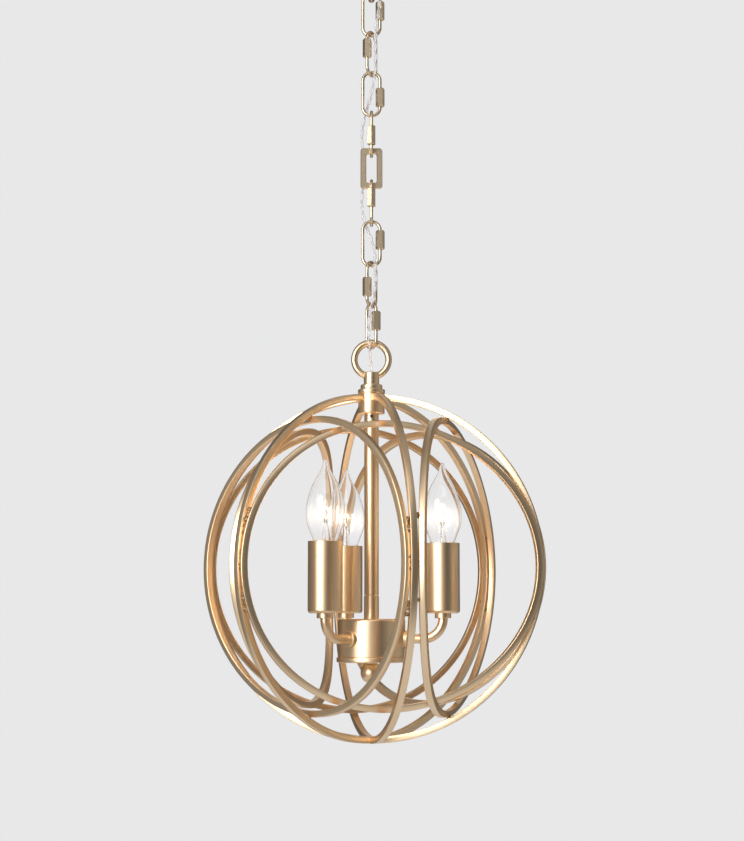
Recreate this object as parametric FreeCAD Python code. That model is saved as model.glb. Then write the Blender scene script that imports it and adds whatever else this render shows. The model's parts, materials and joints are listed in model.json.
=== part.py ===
import FreeCAD, Part
import math
import os

# Orb chandelier: a ball of nine bent square bars round a three-candle lamp, hung on a quick-link
# chain from a ceiling cup. Millimetres, +Z up, origin in the ceiling plane on the hanging axis,
# -Y towards the viewer. Azimuths are counted from the viewer's side towards +X.

V = FreeCAD.Vector
Z = V(0, 0, 1)

# ---- cage -------------------------------------------------------------------------------------
cage_radius = 157.0            # centre line of the great hoops
bar = 6.0                      # side of the square bar
hoop_azimuths = [13.1, 76.0, 133.5]   # planes of the three great hoops
outer_hoop_bow = 14.2          # how far the three larger small hoops lean in at top and bottom
inner_hoop_inset = 30.5        # the three lower ones end this far inside the cage's pole, centre line
inner_hoop_bow = 24.8          # how far those lean in
weld_gap = 0.05                # what a weld bridges between two bars

# ---- hanging loops ----------------------------------------------------------------------------
loop_radius = 16.0             # centre line of the ring
loop_bar_radius = 3.1
neck_radius = 7.2
neck_height = 11.6
neck_overlap = 7.0             # how far the neck's end stands past the ring's lowest point
cord_hole_radius = 2.6
loop_bore_depth = 5.0          # tapped for the hollow rod
neck_edge = 0.8

# ---- chain ------------------------------------------------------------------------------------
wire_radius = 1.5
link_width = 19.4              # outside
link_inner_length = 39.5
link_gap = 0.3                 # play between two links that hang in each other
ring_play = 0.5                # play between a link and a thick ring
link_nut_flats = 7.4
link_nut_face = 3.4            # radius of the round faces at the nut's ends
link_nut_taper = 1.2           # length of the turned ends
link_nut_length = 18.0
link_nut_shift = 3.5           # the closed nut sits this far from the middle of the link
link_nut_play = 0.1
link_nut_lap = 1.0             # the closed nut covers this much of the bare end past the opening
screw_gap_length = 4.5         # the opening of a quick link under its closed nut
frame_link_height = 39.0       # the one flat link with square corners
frame_link_width = 20.8
frame_link_bar = 5.5
frame_link_thickness = 3.2
frame_link_corner = 3.2
frame_link_edge = 0.7

# one entry per link from the ceiling down: turn of its plane about +Z, side of its nut, nut up or down
links = [(0.0, 1, 1), (60.0, -1, 1), (0.0, 1, -1), (90.0, -1, -1), None, (90.0, -1, 1), (0.0, 1, 1),
         (60.0, -1, -1), (-58.0, 1, 1)]
frame_link_turn = 0.0
top_loop_turn = 90.0
lower_loop_turn = 0.0

# ---- ceiling fitting --------------------------------------------------------------------------
canopy_radius = 60.0
canopy_depth = 24.0
canopy_wall = 1.2
canopy_flat_radius = 22.0
canopy_rim = 5.0
crossbar_length = 108.0
crossbar_width = 16.0
crossbar_thickness = 2.5
crossbar_corner = 4.8
bolt_spacing = 88.9
bolt_hole_radius = 2.4
rod_radius = 4.8               # hollow threaded rod, here and in the lamp
rod_bore_radius = 3.0
rod_play = 0.1
nut_flats = 16.0
nut_height = 4.0
ring_nut_radius = 12.0
ring_nut_height = 7.0
ring_nut_edge = 1.0
connector_base_radius = 5.5
connector_top_radius = 3.5
connector_height = 14.0
connector_offset = 22.0

# ---- stem and collar, heights measured from the middle of the cage ----------------------------
collar_radius = 12.25
collar_height = 18.0
flange_radius = 12.6
flange_height = 4.7
groove_depth = 0.6
groove_height = 0.8
washer_radius = 10.2
washer_height = 4.6
washer_edge = 1.2
stem_radius = 6.7
stem_wall = 1.2
stem_bottom = -25.9
sleeve_radius = 6.95
hub_top = -47.6
stem_screw_radius = 1.6
stem_screw_drop = 3.0          # below the collar
stem_screw_length = 3.0
stem_screw_proud = 0.4
rod_in_stem = 10.0             # how far the hub rod stands up inside the stem tube

# ---- hub --------------------------------------------------------------------------------------
hub_radius = 31.0
hub_height = 34.6
hub_wall = 1.5
hub_edge = 2.2
cover_radius = 32.0
cover_height = 4.8
cover_edge = 1.2
cover_lip = 2.0                # stands up inside the housing
cover_wall = 3.3
finial_radius = 10.0
finial_neck_radius = 5.5
finial_drop = 9.4              # ball centre below the cover
rod_in_finial = 4.0

# ---- arms and candles -------------------------------------------------------------------------
candle_azimuths = [81.5, 201.5, 321.5]
candle_circle = 66.0
arm_radius = 4.3
arm_bore_radius = 3.2
arm_bend = 18.5
arm_drop = 18.0                # arm axis below the hub's top
arm_inside = 5.0               # how far the arm's end stands inside the hub wall
arm_collar_radius = 7.4
arm_collar_height = 4.0
arm_collar_edge = 1.0
cup_radius = 7.5
cup_height = 4.5
cup_edge = 0.8
candle_radius = 15.6
candle_wall = 1.1
candle_height = 64.0
candle_bottom = -42.5
candle_edge = 3.0
socket_radius = 13.0
socket_below_rim = 6.0
socket_bore_radius = 7.1
socket_bore_depth = 26.0
arm_in_socket = 6.0

# ---- bulbs ------------------------------------------------------------------------------------
bulb_radius = 17.5
bulb_wall = 0.7
bulb_above_rim = 74.0
bulb_neck_radius = 10.0
bulb_belly_height = 25.0       # widest place above the candle's rim
bulb_belly_length = 10.0       # it stays near that width for about this far each way
bulb_swell = 0.3               # how far the neck's curve has gone at its first control point
bulb_taper = 0.61              # the same above the belly
bulb_tip_radius = 2.2
bulb_tip_flare = 0.5
bulb_tip_length = 9.0
base_play = 0.3
base_radius = 6.8
base_length = 25.0
base_flange_height = 2.6
base_contact_radius = 3.2
base_taper = 3.0
bulb_stem_height = 22.0
bulb_stem_radius = 3.4
bulb_lead_radius = 0.45
bulb_lead_spread = 5.5
bulb_lead_height = 30.0
bulb_lead_root = 2.0           # the leads start this far below the glass mount's tip

# ---- cord -------------------------------------------------------------------------------------
cord_radius = 1.7
cord_route = [(0.0, 0.0, -39.0), (0.4, -0.4, -48.0), (5.5, -3.8, -59.0), (8.0, -8.2, -72.0),
              (6.6, -8.6, -87.0), (4.6, -7.4, -102.0), (3.6, -7.0, -117.0), (3.9, -7.2, -131.0),
              (3.6, -5.9, -145.0), (1.6, -1.6, -158.0), (-1.8, 3.0, -171.0), (-6.2, 6.3, -184.0),
              (-8.9, 5.0, -198.0), (-9.3, 4.4, -212.0), (-8.2, 6.6, -226.0), (-6.2, 7.4, -240.0),
              (-8.0, 6.2, -254.0), (-9.5, 3.9, -268.0), (-8.6, 4.6, -281.0), (-4.6, 4.4, -294.0),
              (0.3, 0.9, -307.0), (3.2, -3.9, -320.0), (3.6, -7.0, -334.0), (3.9, -8.3, -349.0),
              (2.2, -8.9, -363.0), (-1.6, -8.0, -377.0), (-2.7, -7.2, -391.0), (-2.5, -6.6, -404.0),
              (-1.5, -3.6, -416.0), (-0.2, -0.4, -427.0), (0.0, 0.0, -439.0)]

# ---- worked out -------------------------------------------------------------------------------
half_bar = bar / 2
link_bend = link_width / 2 - wire_radius            # centre line of a link's round end
link_reach = link_inner_length / 2 + wire_radius    # middle of a link to the axis of its end bar
candle_top = candle_bottom + candle_height
socket_floor = candle_bottom + candle_wall
socket_top = candle_top - socket_below_rim
cage_top = cage_radius + half_bar


# ---- plain shapes -----------------------------------------------------------------------------
def moved(shape, x=0.0, y=0.0, z=0.0):
    copy = shape.copy()
    copy.translate(V(x, y, z))
    return copy


def turned(shape, degrees, centre=V(0, 0, 0), axis=Z):
    copy = shape.copy()
    copy.rotate(centre, axis, degrees)
    return copy


def fuse(shapes):
    return shapes[0].multiFuse(shapes[1:]).removeSplitter()


def tube(outer, inner, low, high):
    solid = Part.makeCylinder(outer, high - low, V(0, 0, low))
    bore = Part.makeCylinder(inner, high - low, V(0, 0, low))
    return solid.cut(bore)


def lathe(edges):
    """A closed outline in the XZ plane, spun about Z."""
    face = Part.Face(Part.Wire(edges))
    return face.revolve(V(0, 0, 0), Z, 360)


def lines(points):
    """Straight edges through (radius, height) pairs."""
    corners = [V(r, 0, z) for r, z in points]
    return [Part.makeLine(a, b) for a, b in zip(corners, corners[1:])]


def arc(first, middle, last):
    a, b, c = [V(r, 0, z) for r, z in (first, middle, last)]
    return Part.Arc(a, b, c).toShape()


def hexagon(flats, height, low):
    corners = [V(flats / math.sqrt(3) * math.cos(math.radians(60 * i)),
                 flats / math.sqrt(3) * math.sin(math.radians(60 * i)), low) for i in range(7)]
    return Part.Face(Part.makePolygon(corners)).extrude(V(0, 0, height))


def heading(azimuth):
    """Unit vector for an azimuth counted from the viewer's side towards +X."""
    a = math.radians(azimuth)
    return V(math.sin(a), -math.cos(a), 0)


def circle_edges(radius, centre, normal):
    return Part.Wire(Part.makeCircle(radius, centre, normal))


def pipe(wire, radius, start, direction):
    """A round bar along a wire."""
    return wire.makePipeShell([circle_edges(radius, start, direction)], True, True)


# ---- cage -------------------------------------------------------------------------------------
def great_ring(azimuth):
    square = Part.makePolygon([V(cage_radius + x * half_bar, y * half_bar, 0)
                               for x, y in ((-1, -1), (1, -1), (1, 1), (-1, 1), (-1, -1))])
    ring = Part.Face(square).revolve(V(0, 0, 0), V(0, 1, 0), 360)
    return turned(ring, azimuth - 90)


def great_hoops():
    """Three hoops whose ends seat on the collar; two of them butt against the first below."""
    collar_core = Part.makeCylinder(collar_radius, cage_radius, Z * (cage_radius / 2))
    reach = 4 * bar
    crossing = Part.makeBox(bar, 2 * reach, 2 * bar, V(-half_bar, -reach, -cage_radius - bar))
    hoops = []
    for number, azimuth in enumerate(hoop_azimuths):
        hoop = great_ring(azimuth).cut(collar_core)
        for earlier in hoop_azimuths[:number]:
            hoop = hoop.cut(turned(crossing, earlier))
        hoops.append(hoop)
    return hoops


def ellipse_face(across, up):
    """Face in the XZ plane, half width along X, half height along Z."""
    if across > up:
        curve = Part.Ellipse(V(across, 0, 0), V(0, 0, up), V(0, 0, 0))
    else:
        curve = Part.Ellipse(V(0, 0, up), V(across, 0, 0), V(0, 0, 0))
    return Part.Face(Part.Wire(curve.toShape()))


def small_hoop(azimuth, half, height, bow):
    """Closed hoop in front of the axis: it runs beside two great hoops and leans in above and below."""
    offset = cage_radius * math.cos(half)
    width = cage_radius * math.sin(half)
    bend = (height ** 2 + bow ** 2) / (2 * bow)
    outside = ellipse_face(width + half_bar, height + half_bar)
    inside = ellipse_face(width - half_bar, height - half_bar)
    depth = bow + 3 * bar
    band = outside.cut(inside).extrude(V(0, depth, 0))
    band.translate(V(0, -offset - bar, 0))
    axis_y = bend - offset
    span = 2 * (width + bar)
    slab = Part.makeCylinder(bend + half_bar, span, V(-span / 2, axis_y, 0), V(1, 0, 0))
    slab = slab.cut(Part.makeCylinder(bend - half_bar, span, V(-span / 2, axis_y, 0), V(1, 0, 0)))
    return turned(band.common(slab), azimuth)


def half_angle(low, high):
    """Half the turn between the two sides of a small hoop that lies beside two great hoops."""
    between = math.radians(high - low) / 2
    pitch = (half_bar * (1 + math.sin(between) + math.cos(between)) + weld_gap) / cage_radius
    return between - math.asin(pitch)


def touching_height(half, bow):
    """Half height at which a hoop that leans in by the bow meets the great hoops from inside."""
    outer_face = cage_radius * math.cos(half) - bow + half_bar + weld_gap
    return math.sqrt((cage_radius - half_bar) ** 2 - outer_face ** 2) - half_bar


def cage():
    first, second, third = hoop_azimuths
    pieces = {}
    for number, hoop in enumerate(great_hoops(), 1):
        pieces["great_hoop_%d" % number] = hoop
    outer_gaps = [(first, third), (third, second + 180), (second + 180, first + 360)]
    inner_gaps = [(third - 180, second), (second, first + 180), (first + 180, third + 180)]
    for number, (low, high) in enumerate(outer_gaps, 1):
        half = half_angle(low, high)
        height = touching_height(half, outer_hoop_bow)
        pieces["outer_hoop_%d" % number] = small_hoop((low + high) / 2, half, height, outer_hoop_bow)
    for number, (low, high) in enumerate(inner_gaps, 1):
        height = cage_radius - inner_hoop_inset
        half = half_angle(low, high)
        pieces["inner_hoop_%d" % number] = small_hoop((low + high) / 2, half, height, inner_hoop_bow)
    return pieces


# ---- loops and chain --------------------------------------------------------------------------
def hanging_loop(turn):
    """Ring in the XZ plane round the origin, with a tapped neck below it."""
    ring = Part.makeTorus(loop_radius, loop_bar_radius, V(0, 0, 0), V(0, 1, 0))
    neck_top = -loop_radius - loop_bar_radius + neck_overlap
    neck_low = neck_top - neck_height
    neck = Part.makeCylinder(neck_radius, neck_height, V(0, 0, neck_low))
    top_edge = [e for e in neck.Edges if e.BoundBox.ZMin > neck_top - 0.01]
    neck = neck.makeFillet(neck_edge, top_edge)
    body = fuse([ring, neck])
    hole = Part.makeCylinder(cord_hole_radius, neck_height + 1, V(0, 0, neck_low - 0.5))
    tapped = Part.makeCylinder(rod_radius, loop_bore_depth, V(0, 0, neck_low))
    return turned(body.cut(hole).cut(tapped), turn)


def loop_neck_low():
    return -loop_radius - loop_bar_radius + neck_overlap - neck_height


def oval_wire():
    """The closed outline of a link in the XZ plane, as four tangent edges."""
    half = link_reach - link_bend
    side = link_bend
    return [Part.makeLine(V(side, 0, -half), V(side, 0, half)),
            arc((side, half), (0, half + side), (-side, half)),
            Part.makeLine(V(-side, 0, half), V(-side, 0, -half)),
            arc((-side, -half), (0, -half - side), (side, -half))]


def quick_link(side, lift):
    """A bent wire link, open on one side under its nut."""
    path = Part.Wire(oval_wire())
    link = pipe(path, wire_radius, V(link_bend, 0, 0), Z)
    nut_end = link_nut_shift + link_nut_length / 2
    middle = lift * (nut_end - link_nut_lap - screw_gap_length / 2)
    slot = Part.makeBox(4 * wire_radius, 4 * wire_radius, screw_gap_length)
    slot.translate(V(side * link_bend - 2 * wire_radius, -2 * wire_radius, middle - screw_gap_length / 2))
    return link.cut(slot)


def link_nut(side, lift):
    """The long six-sided nut of a quick link, closed, with its bore and tapered ends."""
    half = link_nut_length / 2
    bore = wire_radius + link_nut_play
    corner = link_nut_flats / math.sqrt(3) + link_nut_play
    outline = [(bore, -half), (link_nut_face, -half), (corner, -half + link_nut_taper),
               (corner, half - link_nut_taper), (link_nut_face, half), (bore, half), (bore, -half)]
    nut = lathe(lines(outline)).common(hexagon(link_nut_flats, link_nut_length, -half))
    return moved(nut, side * link_bend, 0, lift * link_nut_shift)


def frame_link():
    """A flat rectangular link with rounded corners and broken edges."""
    def rounded(width, height, corner, depth):
        box = Part.makeBox(width, depth, height, V(-width / 2, -depth / 2, -height / 2))
        upright = [e for e in box.Edges if abs(e.tangentAt(e.FirstParameter).y) > 0.99]
        return box.makeFillet(corner, upright)
    outer = rounded(frame_link_width, frame_link_height, frame_link_corner, frame_link_thickness)
    faces = [e for e in outer.Edges if abs(abs(e.CenterOfMass.y) - frame_link_thickness / 2) < 0.01]
    outer = outer.makeChamfer(frame_link_edge, faces)
    inner_width = frame_link_width - 2 * frame_link_bar
    inner_height = frame_link_height - 2 * frame_link_bar
    inner = rounded(inner_width, inner_height, frame_link_corner / 2, 2 * frame_link_thickness)
    link = outer.cut(inner)
    hole = [e for e in link.Edges
            if abs(abs(e.CenterOfMass.y) - frame_link_thickness / 2) < 0.01
            and abs(e.CenterOfMass.x) < inner_width / 2 + 0.01
            and abs(e.CenterOfMass.z) < inner_height / 2 + 0.01]
    return link.makeChamfer(frame_link_edge, hole)


def chain_places():
    """Height of the middle of every link, and of both hanging loops' rings."""
    canopy_end = -canopy_depth - ring_nut_height
    top_ring = canopy_end + loop_neck_low()
    bar_axis = top_ring - loop_radius
    heights = []
    above = loop_bar_radius
    play = ring_play
    for link in links:
        if link is None:
            top = bar_axis + above + play
            middle = top - (frame_link_height / 2 - frame_link_bar)
            bar_axis = middle - frame_link_height / 2 + frame_link_bar / 2
            above = frame_link_bar / 2
        else:
            top = bar_axis + above + play + wire_radius
            middle = top - link_reach
            bar_axis = middle - link_reach
            above = wire_radius
        heights.append(middle)
        play = link_gap
    low_ring = bar_axis + wire_radius + ring_play + loop_bar_radius - loop_radius
    return top_ring, heights, low_ring


def chain():
    top_ring, heights, low_ring = chain_places()
    pieces = {}
    for number, (link, height) in enumerate(zip(links, heights), 1):
        if link is None:
            pieces["frame_link_%d" % number] = moved(turned(frame_link(), frame_link_turn), z=height)
            continue
        turn, side, lift = link
        pieces["chain_link_%d" % number] = moved(turned(quick_link(side, lift), turn), z=height)
        pieces["link_nut_%d" % number] = moved(turned(link_nut(side, lift), turn), z=height)
    return pieces


# ---- ceiling fitting --------------------------------------------------------------------------
def canopy():
    """A spun cup, open at the ceiling, with a round bottom edge."""
    def outline(radius, depth, flat, rim):
        run = radius - flat
        fall = depth - rim
        bend = (run ** 2 + fall ** 2) / (2 * fall)
        half_turn = math.asin(run / bend) / 2
        mid = (flat + bend * math.sin(half_turn), -depth + bend * (1 - math.cos(half_turn)))
        return (lines([(0, 0), (radius, 0), (radius, -rim)]) + [arc((radius, -rim), mid, (flat, -depth))]
                + lines([(flat, -depth), (0, -depth), (0, 0)]))
    solid = lathe(outline(canopy_radius, canopy_depth, canopy_flat_radius, canopy_rim))
    room = lathe(outline(canopy_radius - canopy_wall, canopy_depth - canopy_wall,
                         canopy_flat_radius - canopy_wall / 2, canopy_rim))
    hole = Part.makeCylinder(rod_radius + rod_play, canopy_depth, V(0, 0, -1.5 * canopy_depth))
    return solid.cut(room).cut(hole)


def crossbar():
    plate = Part.makeBox(crossbar_length, crossbar_width, crossbar_thickness,
                         V(-crossbar_length / 2, -crossbar_width / 2, -crossbar_thickness))
    ends = [e for e in plate.Edges if abs(e.tangentAt(e.FirstParameter).z) > 0.99]
    plate = plate.makeFillet(crossbar_corner, ends)
    for x in (-bolt_spacing / 2, bolt_spacing / 2):
        plate = plate.cut(Part.makeCylinder(bolt_hole_radius, 3 * crossbar_thickness,
                                            V(x, 0, -2 * crossbar_thickness)))
    return plate.cut(Part.makeCylinder(rod_radius, 3 * crossbar_thickness, V(0, 0, -2 * crossbar_thickness)))


def ceiling_fitting(top_ring):
    loop = moved(turned(hanging_loop(top_loop_turn), 180, V(0, 0, 0), V(1, 0, 0)), z=top_ring)
    rod_low = -canopy_depth - ring_nut_height - loop_bore_depth
    nut_low = -crossbar_thickness - nut_height
    nut = hexagon(nut_flats, nut_height, nut_low)
    nut = nut.cut(Part.makeCylinder(rod_radius, 2 * nut_height, V(0, 0, nut_low - nut_height / 2)))
    floor = -canopy_depth + canopy_wall
    cone = Part.makeCone(connector_base_radius, connector_top_radius, connector_height, V(0, 0, floor))
    low = -canopy_depth - ring_nut_height
    face = ring_nut_radius - ring_nut_edge
    ring_nut = lathe(lines([(rod_radius, low), (face, low), (ring_nut_radius, low + ring_nut_edge),
                            (ring_nut_radius, -canopy_depth - ring_nut_edge), (face, -canopy_depth),
                            (rod_radius, -canopy_depth), (rod_radius, low)]))
    side = connector_offset / 2
    connectors = [moved(cone, x, side) for x in (-side, side)]
    return {"canopy": canopy(),
            "crossbar": crossbar(),
            "threaded_nipple": tube(rod_radius, rod_bore_radius, rod_low, 0.0),
            "nipple_nut": nut,
            "canopy_ring_nut": ring_nut,
            "canopy_loop": loop,
            "wire_connectors": Part.makeCompound(connectors)}


# ---- stem and hub -----------------------------------------------------------------------------
def top_collar():
    low = cage_top - collar_height
    groove = cage_top + groove_height
    top = cage_top + flange_height
    return lathe(lines([(stem_radius, low), (collar_radius, low), (collar_radius, cage_top),
                        (collar_radius - groove_depth, cage_top), (collar_radius - groove_depth, groove),
                        (flange_radius, groove), (flange_radius, top - groove_height),
                        (flange_radius - groove_height, top), (stem_radius, top), (stem_radius, low)]))


def loop_washer():
    low = cage_top + flange_height
    top = low + washer_height
    bore = rod_radius + rod_play
    return lathe(lines([(bore, low), (washer_radius, low), (washer_radius, top - washer_edge),
                        (washer_radius - washer_edge, top), (bore, top), (bore, low)]))


def stem():
    top = cage_top + flange_height
    screw_height = cage_top - collar_height - stem_screw_drop
    pipe_solid = tube(stem_radius, stem_radius - stem_wall, stem_bottom, top)
    hole = Part.makeCylinder(stem_screw_radius, 2 * stem_radius, V(0, 0, screw_height), V(0, -1, 0))
    screw_tail = V(0, -stem_radius - stem_screw_proud + stem_screw_length, screw_height)
    screw = Part.makeCylinder(stem_screw_radius, stem_screw_length, screw_tail, V(0, -1, 0))
    stud_low = top - 2 * loop_bore_depth
    plug = tube(stem_radius - stem_wall, rod_radius, stud_low, top)
    top_rod = tube(rod_radius, rod_bore_radius, stud_low, top + washer_height + loop_bore_depth)
    return {"stem_tube": fuse([pipe_solid.cut(hole), plug, top_rod]), "stem_screw": screw}


def stem_sleeve():
    return tube(sleeve_radius, rod_radius, hub_top, stem_bottom)


def arm_axis_height():
    return hub_top - arm_drop


def hub_housing():
    low = hub_top - hub_height
    outside = Part.makeCylinder(hub_radius, hub_height, V(0, 0, low))
    outside = outside.makeFillet(hub_edge, [e for e in outside.Edges if e.BoundBox.ZMin > hub_top - 0.01])
    room = Part.makeCylinder(hub_radius - hub_wall, hub_height - hub_wall, V(0, 0, low))
    bore = Part.makeCylinder(rod_radius, hub_height, V(0, 0, hub_top - hub_wall * 2))
    housing = outside.cut(room).cut(bore)
    middle = Z * arm_axis_height()
    for azimuth in candle_azimuths:
        housing = housing.cut(Part.makeCylinder(arm_radius, 2 * hub_radius, middle, heading(azimuth)))
    return housing


def hub_cover():
    top = hub_top - hub_height
    low = top - cover_height
    hole = rod_radius
    lip = hub_radius - hub_wall
    return lathe(lines([(hole, low), (cover_radius - cover_edge, low), (cover_radius, low + cover_edge),
                        (cover_radius, top), (lip, top), (lip, top + cover_lip),
                        (lip - hub_wall, top + cover_lip), (lip - hub_wall, low + cover_wall),
                        (hole, low + cover_wall), (hole, low)]))


def finial():
    cover_low = hub_top - hub_height - cover_height
    centre = cover_low - finial_drop
    ball = Part.makeSphere(finial_radius, V(0, 0, centre))
    neck = Part.makeCylinder(finial_neck_radius, finial_drop, V(0, 0, centre))
    above = Part.makeBox(4 * finial_radius, 4 * finial_radius, 2 * finial_radius,
                         V(-2 * finial_radius, -2 * finial_radius, cover_low))
    bore = Part.makeCylinder(rod_radius, rod_in_finial, V(0, 0, cover_low - rod_in_finial))
    return fuse([ball, neck]).cut(above).cut(bore)


def hub_rod():
    cover_low = hub_top - hub_height - cover_height
    return tube(rod_radius, rod_bore_radius, cover_low - rod_in_finial, stem_bottom + rod_in_stem)


def hub_nut():
    top = hub_top - hub_wall
    nut = hexagon(nut_flats, nut_height, top - nut_height)
    return nut.cut(Part.makeCylinder(rod_radius, 2 * nut_height, V(0, 0, top - 1.5 * nut_height)))


# ---- arms, candles and bulbs ------------------------------------------------------------------
def arm():
    """A bent tube from inside the hub to inside the socket, along +X."""
    start = V(hub_radius - hub_wall - arm_inside, 0, arm_axis_height())
    turn = V(candle_circle - arm_bend, 0, arm_axis_height())
    half = math.sqrt(0.5)
    middle = V(turn.x + arm_bend * half, 0, turn.z + arm_bend * (1 - half))
    rise = V(candle_circle, 0, turn.z + arm_bend)
    end = V(candle_circle, 0, socket_floor + arm_in_socket)
    path = Part.Wire([Part.makeLine(start, turn), Part.Arc(turn, middle, rise).toShape(),
                      Part.makeLine(rise, end)])
    return pipe(path, arm_radius, start, V(1, 0, 0)).cut(pipe(path, arm_bore_radius, start, V(1, 0, 0)))


def arm_collar():
    disc = Part.makeCylinder(arm_collar_radius, arm_collar_height + hub_radius / 2,
                             V(hub_radius / 2, 0, arm_axis_height()), V(1, 0, 0))
    disc = disc.makeFillet(arm_collar_edge, [e for e in disc.Edges if e.BoundBox.XMin > hub_radius + 1])
    disc = disc.cut(Part.makeCylinder(hub_radius, 2 * hub_height, V(0, 0, arm_axis_height() - hub_height)))
    return disc.cut(Part.makeCylinder(arm_radius, 2 * hub_radius, V(0, 0, arm_axis_height()), V(1, 0, 0)))


def candle_cup():
    ring = tube(cup_radius, arm_radius, candle_bottom - cup_height, candle_bottom)
    low_edge = [e for e in ring.Edges if e.BoundBox.ZMax < candle_bottom - cup_height + 0.01
                and e.BoundBox.XLength > 2 * arm_radius + 1]
    ring = ring.makeFillet(cup_edge, low_edge)
    return moved(ring, candle_circle)


def candle_sleeve():
    solid = Part.makeCylinder(candle_radius, candle_height, V(0, 0, candle_bottom))
    solid = solid.makeFillet(candle_edge, [e for e in solid.Edges if e.BoundBox.ZMax < candle_bottom + 0.01])
    floor = candle_bottom + candle_wall
    room = Part.makeCylinder(candle_radius - candle_wall, candle_height, V(0, 0, floor))
    inner_edge = [e for e in room.Edges if e.BoundBox.ZMax < floor + 0.01]
    room = room.makeFillet(candle_edge - candle_wall, inner_edge)
    hole = Part.makeCylinder(arm_radius, 3 * candle_wall, V(0, 0, candle_bottom - candle_wall))
    return moved(solid.cut(room).cut(hole), candle_circle)


def lamp_socket():
    """The holder inside a candle: a foot round the arm and a bore for the bulb's base."""
    foot = socket_radius - candle_edge
    outline = lines([(arm_radius, socket_floor), (foot, socket_floor),
                     (socket_radius, socket_floor + candle_edge), (socket_radius, socket_top),
                     (socket_bore_radius, socket_top), (socket_bore_radius, socket_top - socket_bore_depth),
                     (0, socket_top - socket_bore_depth), (0, socket_floor + arm_in_socket),
                     (arm_radius, socket_floor + arm_in_socket), (arm_radius, socket_floor)])
    return moved(lathe(outline), candle_circle)


def bulb_outline(inset):
    """Half outline of a candle bulb, from the neck over the belly to the rounded point."""
    low = socket_top + base_play + base_flange_height
    tip = candle_top + bulb_above_rim - inset
    belly = candle_top + bulb_belly_height
    wide = bulb_radius - inset
    neck = bulb_neck_radius - inset
    swell = bulb_swell
    taper = bulb_taper
    poles = [V(r, 0, z) for r, z in (
        (neck, low), (neck + swell * (wide - neck), low + swell * (belly - low)),
        (wide, belly - bulb_belly_length), (wide, belly), (wide, belly + bulb_belly_length),
        (taper * wide, belly + taper * (tip - belly)),
        (bulb_tip_radius + bulb_tip_flare, tip - bulb_tip_length), (bulb_tip_radius, tip), (0, tip))]
    side = Part.BSplineCurve()
    side.buildFromPoles(poles, False, 3)
    return [Part.makeLine(V(0, 0, low), poles[0]), side.toShape(), Part.makeLine(poles[-1], V(0, 0, low))]


def bulb_glass():
    return lathe(bulb_outline(0.0)).cut(lathe(bulb_outline(bulb_wall)))


def bulb_base():
    """The screw base, with its flange under the glass, and the glass mount with its two leads."""
    top = socket_top + base_play
    flange = top + base_flange_height
    low = top - base_length
    base = lathe(lines([(0, low), (base_contact_radius, low), (base_radius, low + base_taper),
                        (base_radius, top), (bulb_neck_radius, top), (bulb_neck_radius, flange),
                        (0, flange), (0, low)]))
    mount = Part.makeCone(bulb_stem_radius, bulb_stem_radius / 2, bulb_stem_height, V(0, 0, flange))
    tip = flange + bulb_stem_height
    leads = []
    for side in (-1, 1):
        foot = V(side * bulb_stem_radius / 4, 0, tip - bulb_lead_root)
        head = V(side * bulb_lead_spread, 0, flange + bulb_lead_height)
        leads.append(Part.makeCylinder(bulb_lead_radius, foot.distanceToPoint(head), foot, head - foot))
    return fuse([base, mount] + leads)


# ---- cord -------------------------------------------------------------------------------------
def cord():
    """Straight runs joined by tangent arcs, as large as the two runs allow."""
    points = [V(*p) for p in cord_route]
    edges = []
    radii = []
    here = points[0]
    for before, corner, after in zip(points, points[1:], points[2:]):
        back = before - corner
        onward = after - corner
        shorter = min(back.Length, onward.Length)
        back.normalize()
        onward.normalize()
        half_turn = (math.pi - back.getAngle(onward)) / 2
        reach = 0.45 * shorter
        radius = reach / math.tan(half_turn)
        radii.append(radius)
        first = corner + back * reach
        last = corner + onward * reach
        inward = back + onward
        inward.normalize()
        middle = corner + inward * (radius / math.cos(half_turn) - radius)
        edges.append(Part.LineSegment(here, first).toShape())
        edges.append(Part.Arc(first, middle, last).toShape())
        here = last
    edges.append(Part.LineSegment(here, points[-1]).toShape())
    path = Part.Wire(edges)
    solid = pipe(path, cord_radius, points[0], points[1] - points[0])
    expected = math.pi * cord_radius ** 2 * path.Length
    print("cord length %.1f mm, smallest bends %s mm, volume against section times length %.4f"
          % (path.Length, [round(r, 1) for r in sorted(radii)[:5]], solid.Volume / expected))
    return solid


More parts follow.
